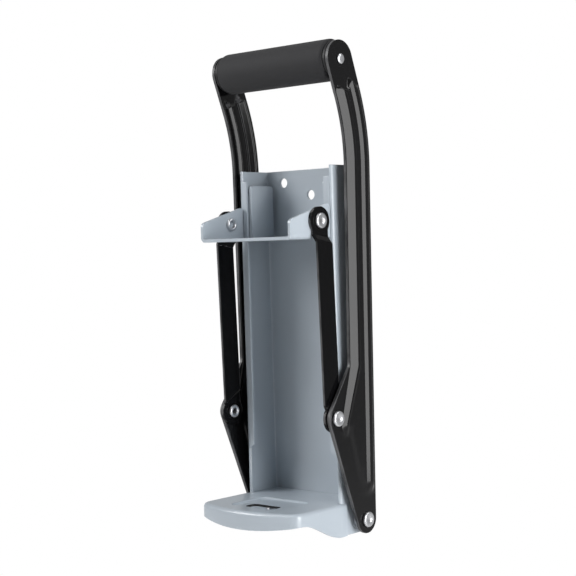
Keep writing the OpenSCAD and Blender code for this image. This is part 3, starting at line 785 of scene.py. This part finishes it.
def back_edge(z):
    """Back edge of the arm, as Y."""
    if z >= PIVOT.z:
        return ARM_BACK
    return PIVOT.y + math.sqrt(max(0, PIVOT_EYE ** 2 - (z - PIVOT.z) ** 2))


def bead_line(z):
    """The front rib's middle and its share of full size, as it turns off beside the elbow."""
    t = min(1, max(0, (EAR_Z - z) / (EAR_Z - BEAD_FOOT.z)))
    top = ARM_BACK - BEAD_MIDDLE * ARM_W
    return top + t * (BEAD_FOOT.y - top), 1 - BEAD_SHRINK * t


def lower_height(y, z):
    """Pressed height below the ear's root: rear rib, front rib beside the elbow, web."""
    share = (ARM_BACK - y) / ARM_W
    rear = rib_height(share) * smooth(z, *REAR_FADE) if share < REAR_END else 0
    centre, size = bead_line(z)
    groove = GROOVE * RIB_H
    edge = WEB_BACK + ramp(z, WEB_FOOT, BEAD_FOOT.z) * (centre + WEB_SETBACK - WEB_BACK)
    web = groove * smooth(y - edge, *WEB_RISE) * smooth(z, *WEB_FADE)
    if share <= REAR_START:
        return max(rear, web * smooth(ARM_BACK - y, *BACK_RISE))
    here = smooth(z, *BEAD_FADE)
    on_bead = max(REAR_END, BEAD_MIDDLE + (centre - y) / (ARM_W * size))
    bead = rib_height(on_bead) * size * here
    if y > centre:
        bead = max(bead, groove * here)
    return max(rear, bead, web)


def crowded(low, high, steps):
    """Shares from low to high, set close at the pressed edges."""
    found = [low + (high - low) * i / steps for i in range(steps + 1)]
    found += [at + side for at, _ in RIBS for side in (-PRESS_ROUND, 0, PRESS_ROUND)
              if low < at + side < high]
    found.sort()
    return [low] + [b for a, b in zip(found, found[1:]) if b - a > 0.004]


REAR_COLUMNS = crowded(0, REAR_END, 14)
BEAD_COLUMNS = crowded(BEAD_START, BEAD_END, 12)


def spread_between(low, high, steps):
    """Values strictly between two, evenly set."""
    return [low + (high - low) * i / (steps + 1) for i in range(1, steps + 1)]


def lower_columns(z):
    """Places across the arm below the ear's root, following the rear rib and the bead."""
    back, front = back_edge(z), front_edge(z)
    narrow = min(1, (back - front) / ARM_W)
    rear = [back - s * ARM_W * narrow for s in REAR_COLUMNS]
    level = max(z, BEAD_LEVEL)
    centre, size = bead_line(level)
    bead = [centre + (BEAD_MIDDLE - s) * ARM_W * size for s in BEAD_COLUMNS]
    end = ARM_BACK - REAR_END * ARM_W
    ahead = spread_between(end, bead[0], 6) + bead
    ahead += spread_between(bead[-1], front_edge(level), 4) + [front_edge(level)]
    scale = (rear[-1] - front) / (end - front_edge(level))
    return rear + [rear[-1] - (end - y) * scale for y in ahead]


def rib_tip(share, run):
    """Fades the ribs out to round tips below the grip."""
    longer, middle, half = REAR_TIP if share < REAR_END else FRONT_TIP
    end = TIP_END + longer * max(0, 1 - ((share - middle) / half) ** 2)
    return 1 - smooth(run, end - TIP_FADE, end)


def arm_rows():
    """Rows of points over the arm, from the pivot's eye up to the grip."""
    rows = []
    low = [PIVOT.z - PIVOT_EYE * math.cos(math.radians(a)) for a in range(6, 90, 7)]
    low += [PIVOT.z + i * (EAR_Z - PIVOT.z) / LOW_ROWS for i in range(LOW_ROWS)]
    for z in low:
        rows.append([Vector((arm_face(z) + lower_height(y, z), y, z))
                     for y in lower_columns(z)])
    columns = REAR_COLUMNS + spread_between(REAR_END, BEAD_START, 6) + BEAD_COLUMNS
    columns += spread_between(BEAD_END, 1, 4) + [1]
    rows += [arm_row(EAR_Z + i * (BEND_Z - EAR_Z) / STRAIGHT_ROWS, 0, 0, columns)
             for i in range(STRAIGHT_ROWS)]
    rows += [arm_row(BEND_Z, BEND_ANGLE * i / BEND_ROWS, 0, columns) for i in range(BEND_ROWS)]
    ends = [i * TOP_RUN / TOP_ROWS for i in range(TOP_ROWS)]
    ends += [TOP_RUN + TOP_EYE * math.sin(math.radians(a)) for a in range(0, 86, 7)]
    return rows + [arm_row(BEND_Z, BEND_ANGLE, run, columns) for run in ends]


def arm_face(z):
    """Outer face of the leaning arm at some height."""
    return ARM_IN + ARM_T + (z - ELBOW.z) * ARM_LEAN


def arm_row(z, turn, run, columns):
    """One row across the arm: up the straight, round the bend, or out to the grip."""
    middle_y = ARM_BACK - ARM_W / 2 - BEND_R
    wide = math.sqrt(max(0, 1 - max(0, (run - TOP_RUN) / TOP_EYE) ** 2))
    row = []
    for share in columns:
        off = BEND_R + ARM_W * (0.5 - share) * wide
        y = middle_y + off * math.cos(turn) - run * math.sin(turn)
        up = z + off * math.sin(turn) + run * math.cos(turn)
        row.append(Vector((arm_face(up) + rib_height(share) * rib_tip(share, run), y, up)))
    return row


def make_arms():
    """Pressed arms: one sheet each, with ribs, groove, ear and web."""
    piece = skin("arm_right", arm_rows())
    face_towards(piece, Vector((1, 0, 0)))
    modify(piece, "SOLIDIFY", thickness=ARM_T, offset=-1, use_even_offset=True)
    soften(piece, ARM_ROUND, 3, 60, 0.003 * MM)
    rod_low, rod_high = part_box("cross_rod")
    grip = (rod_low + rod_high) / 2
    for place, r in ((PIVOT, PIVOT_BORE), (ELBOW, ELBOW_BORE), (grip, ROD_BORE)):
        bore = start("bore", bpy.ops.mesh.primitive_cylinder_add, vertices=40, radius=r,
                     depth=10 * ARM_T, location=(ARM_IN, place.y, place.z),
                     rotation=(0, math.pi / 2, 0))
        combine(piece, bore, "DIFFERENCE")
    twin = mirrored(piece, "arm_left")
    dress(piece, ARM_BLACK, "lever", ["lever_arm_right"], angle=50)
    dress(twin, ARM_BLACK, "lever", ["lever_arm_left"], angle=50)


# ---------------------------------------------------------------- rivets
# Radius, height and width of the dimple or bore of a rivet's two ends, in mm
HEAD, TAIL = (5, 1.9, 2.0), (4.3, 1.6, 1.9)
HEAD_H = HEAD[1] * MM
# The head's dimple: mm below its top, share of the dimple's radius, mm added to that
DIMPLE = ((0, 1, 0.35), (0.12, 1, 0), (0.45, 0.8, 0), (0.5, 0, 0))
# The tail's hollow: mm above its face, share of the bore's radius
HOLLOW = ((1.0, 0), (0.9, 0.8), (0.4, 1))
TAIL_GAP = 0.15 * MM
RIVET_R = 3 * MM
WALL_INNER = 38.43 * MM
EAR_INNER, EAR_OUTER = 36.88 * MM, 38.9 * MM
SPACER_R, SPACER_BORE = 6.5 * MM, 3.02 * MM
CHAMFER = 0.5 * MM


def head_profile(face, r, height, dimple):
    """A flat rivet head with a rounded rim and a shallow dimple."""
    rim, top, edge = 0.55 * height, face + height, 0.15 * MM
    out = arc((top - rim, r - rim), rim, 90, 0, 6)
    return ([(face, r - edge), (face + edge, r)] + out
            + [(top - down * MM, share * dimple + more * MM) for down, share, more in DIMPLE])


def tail_profile(face, r, height, bore):
    """The rolled rim and hollow of a rivet's other end, from the axis outwards."""
    mid = (bore + r) / 2
    lip = arc((face - height + 0.4 * height, mid), (r - bore) / 2, 270, 90, 10)
    return [(face + up * MM, share * bore) for up, share in HOLLOW] + lip + [(face, r)]


def make_rivet(name, node, body, place, faces, head=True, tail=True):
    """A pair of rivets between two faces: rolled tail, shank and dimpled head."""
    inner, outer = faces
    low_end = tail_profile(inner, *(v * MM for v in TAIL)) if tail else [(inner, 0)]
    high_end = head_profile(outer, *(v * MM for v in HEAD)) if head else [(outer, 0)]
    profile = low_end + [(inner, RIVET_R), (outer, RIVET_R)] + high_end
    piece = turned(name + "_right", profile, place)
    twin = mirrored(piece, name + "_left")
    for one, side in ((piece, "right"), (twin, "left")):
        dress(one, ZINC, body.format(side), [node.format(side)] if node else (), 40)


def outer_face(node):
    """The right end of a node's box, as X."""
    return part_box(node)[1].x


def disc(low, high, bore, r):
    """Profile of a flat ring between two faces, with chamfered outer edges."""
    return [(low, bore), (low, r - CHAMFER), (low + CHAMFER, r), (high - CHAMFER, r),
            (high, r - CHAMFER), (high, bore)]


def make_rivets():
    """Every rivet of the joints, and the spacer rings at the main pivot."""
    make_rivet("pivot_rivet_body", "pivot_rivet_{}", "frame", PIVOT,
               (WALL_INNER, outer_face("pivot_rivet_right") - HEAD_H))
    make_rivet("elbow_rivet_body", "elbow_rivet_{}", "lever", ELBOW,
               (LINK_FOOT_IN - TAIL_GAP, outer_face("elbow_rivet_right") - HEAD_H))
    make_rivet("ram_rivet_head", "ram_rivet_{}", "link_{}", RAM_PIN,
               (LINK_TOP_IN, outer_face("ram_rivet_right") - HEAD_H), tail=False)
    make_rivet("ram_rivet_tail", None, "ram", RAM_PIN, (EAR_INNER, EAR_OUTER), head=False)
    spacer = turned("spacer_right", disc(outer_face("back_channel"),
                                         outer_face("pivot_spacer_right"),
                                         SPACER_BORE, SPACER_R), PIVOT)
    twin = mirrored(spacer, "spacer_left")
    dress(spacer, ZINC, "frame", ["pivot_spacer_right"])
    dress(twin, ZINC, "frame", ["pivot_spacer_left"])
    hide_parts("ram_rivet_tails")


# ---------------------------------------------------------------- grip
SLEEVE_BORE = 10.02 * MM
SLEEVE_ROUND = 2.2 * MM
WASHER_BORE = 4.2 * MM
ROD_R, ROD_NECK = 4 * MM, 2.4 * MM
ROD_SHOULDER = 3.75 * MM  # from the rod's end
# The rod's peened head: distance from the arm's face and radius, in mm
ROD_HEAD = ((0, 3), (0.3, 3.2), (0.65, 3.15), (1, 2.8), (1.25, 1.6), (1.3, 0))


def make_grip():
    """Foam sleeve, its end washers and the rod with peened ends."""
    low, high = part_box("grip_sleeve")
    axis = (low + high) / 2
    axis.x = 0
    half, r = high.x, (high.z - low.z) / 2
    soft = SLEEVE_ROUND
    rounding = arc((0, 0), soft, 0, 90, 7)
    body = [(-half, SLEEVE_BORE), (-half, r - soft)]
    body += [(-half + soft - u, r - soft + v) for u, v in rounding][1:]
    body += [(half * i / 6, r) for i in range(-5, 6)]
    body += [(half - soft + u, r - soft + v) for v, u in rounding][:-1]
    body += [(half, r - soft), (half, SLEEVE_BORE)]
    sleeve = turned("foam_grip", body, axis, 72)
    dress(sleeve, FOAM, "lever", ["grip_sleeve"])
    low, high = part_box("grip_washer_right")
    washer = turned("washer_right", disc(low.x, high.x, WASHER_BORE, (high.z - low.z) / 2),
                    axis, 64)
    twin = mirrored(washer, "washer_left")
    dress(washer, PLASTIC, "lever", ["grip_washer_right"])
    dress(twin, PLASTIC, "lever", ["grip_washer_left"])
    end = outer_face("cross_rod")
    shoulder, face = end - ROD_SHOULDER, end - ROD_HEAD[-1][0] * MM
    right = [(shoulder, ROD_R), (shoulder, ROD_NECK), (face, ROD_NECK)]
    right += [(face + out * MM, r * MM) for out, r in ROD_HEAD]
    left = [(-x, v) for x, v in reversed(right)]
    rod = turned("rod", left + right, axis, 40)
    dress(rod, ZINC, "lever", ["cross_rod"])


make_channel()
make_base()
make_ram()
make_link()
make_arms()
make_rivets()
make_grip()
for node, finish in (("base_rivets", ZINC), ("grip_core", PLASTIC)):
    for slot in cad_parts[node].material_slots:
        slot.material = finish


# ---------------------------------------------------------------- camera and light
CAMERA_AT = Vector((609.0, -708.3, 163.2)) * MM
CAMERA_TURNS = (41.80, 1.59, -1.71)  # degrees: turn, rise and roll
SENSOR = 36
LENS = 1398.1 * SENSOR / 576  # from the focal length and width of the photograph in pixels
FLOOR_Z = -0.3
FLOOR_SHADE = 0.75
AMBIENT, MIRRORED = 0.11, 0.32  # light of the white surroundings: on the object, in mirrors
TARGET = Vector((0, -0.03, 0.12))
# Place, width and height, and watts
LAMPS = (("right", (1.6, -0.1, 0.25), (0.85, 1.1), 25),
         ("above", (-0.3, -0.8, 1.7), (0.9, 0.9), 8),
         ("front", (-1.15, -1.3, 1.0), (0.9, 0.9), 25),
         ("rear", (1.37, 0.82, 1.35), (0.45, 0.7), 5))


def make_camera():
    """The photograph's view: from the right front, a little above the middle."""
    turn, rise, roll = (math.radians(a) for a in CAMERA_TURNS)
    forward = Vector((-math.sin(turn) * math.cos(rise), math.cos(turn) * math.cos(rise),
                      -math.sin(rise)))
    level = Vector((math.cos(turn), math.sin(turn), 0))
    top = level.cross(forward)
    right = level * math.cos(roll) + top * math.sin(roll)
    up = top * math.cos(roll) - level * math.sin(roll)
    data = bpy.data.cameras.new("camera")
    data.sensor_width = SENSOR
    data.lens = LENS
    camera = bpy.data.objects.new("camera", data)
    camera.matrix_world = Matrix((right, up, -forward)).transposed().to_4x4()
    camera.location = CAMERA_AT
    bpy.context.scene.collection.objects.link(camera)
    bpy.context.scene.camera = camera


def lamp(name, place, size, power):
    """A soft rectangular lamp, turned towards the crusher."""
    data = bpy.data.lights.new(name, "AREA")
    data.shape = "RECTANGLE"
    data.size, data.size_y = size
    data.energy = power
    obj = bpy.data.objects.new(name, data)
    obj.location = place
    way = (TARGET - obj.location).normalized()
    obj.rotation_euler = way.to_track_quat("-Z", "Y").to_euler()
    bpy.context.scene.collection.objects.link(obj)


def make_floor():
    """A pale floor some way below, fading to plain white away from the crusher."""
    floor = start("floor", bpy.ops.mesh.primitive_grid_add, x_subdivisions=2, y_subdivisions=2,
                  size=12, location=(0, 0, FLOOR_Z))
    settle(floor)
    f = Finish("pale_floor", Roughness=0.9, Base_Color=(0.9, 0.9, 0.9, 1))
    away = f.add("ShaderNodeVectorMath", {"operation": "LENGTH"}, {0: f.place}, "Value")
    glow = f.add("ShaderNodeEmission", {}, {"Color": (1, 1, 1, 1), "Strength": 1.0})
    seen = f.add("ShaderNodeLightPath", {}, {}, "Is Camera Ray")
    reflected = f.add("ShaderNodeLightPath", {}, {}, "Is Glossy Ray")
    pale = FLOOR_SHADE + (1 - FLOOR_SHADE) * away.between(0.16, 0.5)
    fade = pale * seen + MIRRORED * reflected
    mix = f.add("ShaderNodeMixShader", {},
                {0: fade, 1: Value(f, f.shader.outputs[0]), 2: glow})
    f.feed(f.tree.nodes["Material Output"].inputs["Surface"], mix)
    floor.data.materials.append(f.material)


def make_studio():
    """White all round for what looks and reflects, and softer light from it on the object."""
    world = bpy.data.worlds.new("studio")
    bpy.context.scene.world = world
    world.use_nodes = True
    tree = world.node_tree
    path = tree.nodes.new("ShaderNodeLightPath")
    soft = tree.nodes["Background"]
    soft.inputs["Color"].default_value = (1, 1, 1, 1)
    soft.inputs["Strength"].default_value = AMBIENT
    white = tree.nodes.new("ShaderNodeBackground")
    white.inputs["Color"].default_value = (1, 1, 1, 1)
    white.inputs["Strength"].default_value = 1.0
    mix = tree.nodes.new("ShaderNodeMixShader")
    seen = tree.nodes.new("ShaderNodeMath")
    seen.operation = "MULTIPLY_ADD"
    tree.links.new(path.outputs["Is Glossy Ray"], seen.inputs[0])
    seen.inputs[1].default_value = MIRRORED
    tree.links.new(path.outputs["Is Camera Ray"], seen.inputs[2])
    tree.links.new(seen.outputs[0], mix.inputs[0])
    tree.links.new(soft.outputs[0], mix.inputs[1])
    tree.links.new(white.outputs[0], mix.inputs[2])
    tree.links.new(mix.outputs[0], tree.nodes["World Output"].inputs["Surface"])
    bpy.context.scene.view_settings.view_transform = "Standard"
    for name, place, size, power in LAMPS:
        lamp(name, place, size, power)


make_camera()
make_floor()
make_studio()
